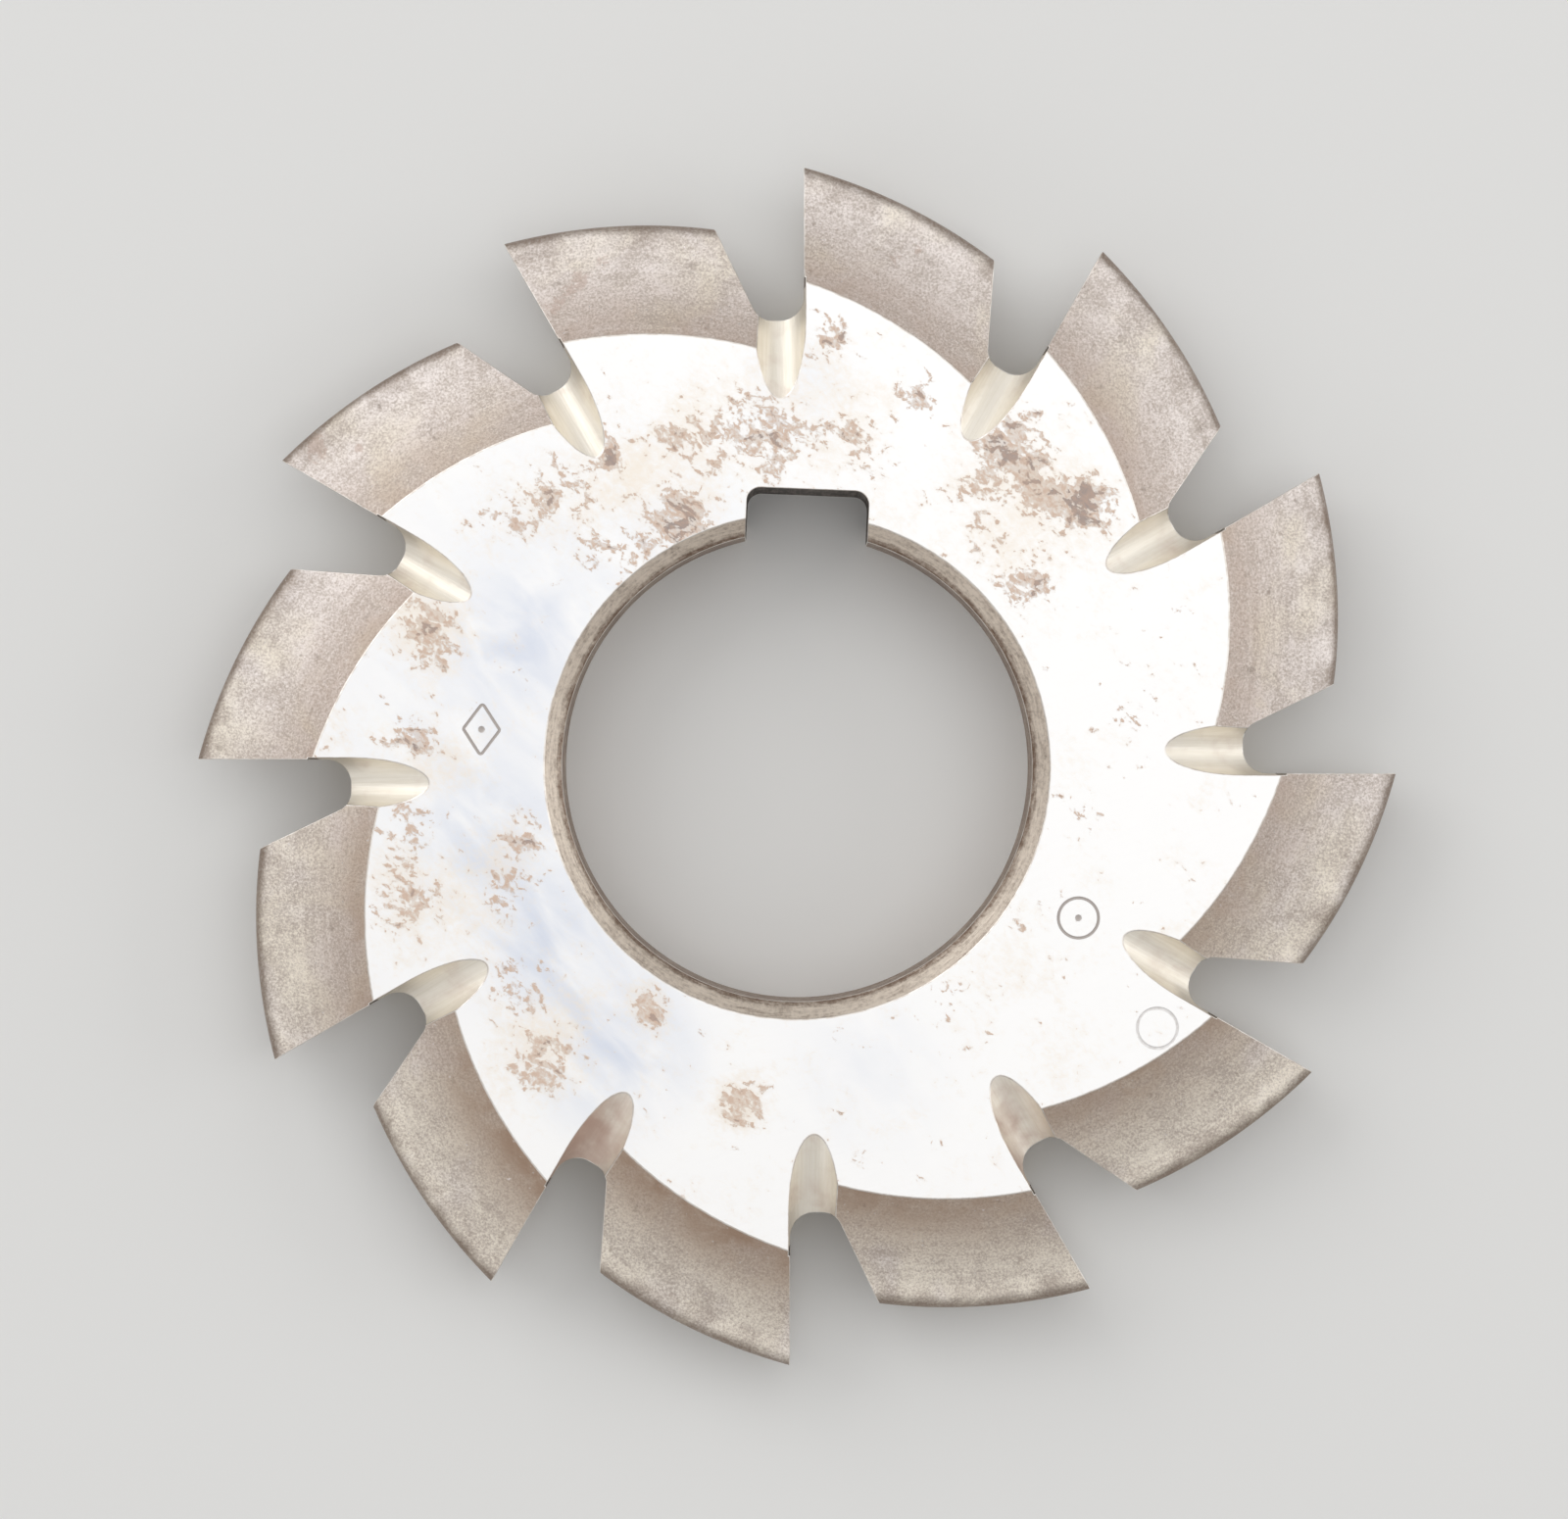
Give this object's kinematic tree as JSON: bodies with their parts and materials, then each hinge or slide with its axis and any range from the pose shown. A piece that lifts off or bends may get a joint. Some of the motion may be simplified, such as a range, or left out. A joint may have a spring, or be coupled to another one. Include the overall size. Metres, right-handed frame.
{
  "type": "involute gear milling cutter",
  "caption": "Disc-shaped gear milling cutter ground from one blank, with form-relieved teeth, scooped flutes, a chamfered bore and a keyway.",
  "frame": {"origin": "middle of the bore's axis, halfway between the two side faces", "axes": "+Z along the bore, out of the side from which the cutting faces look anticlockwise; +Y from the axis towards the keyway"},
  "size_m": [0.0692, 0.0692, 0.008],
  "materials": {
    "ground_steel": "ground side faces, matte relieved tooth backs, light surface rust"
  },
  "bodies": {
    "root": {"gear_cutter": "ground_steel"}
  },
  "joints": []
}
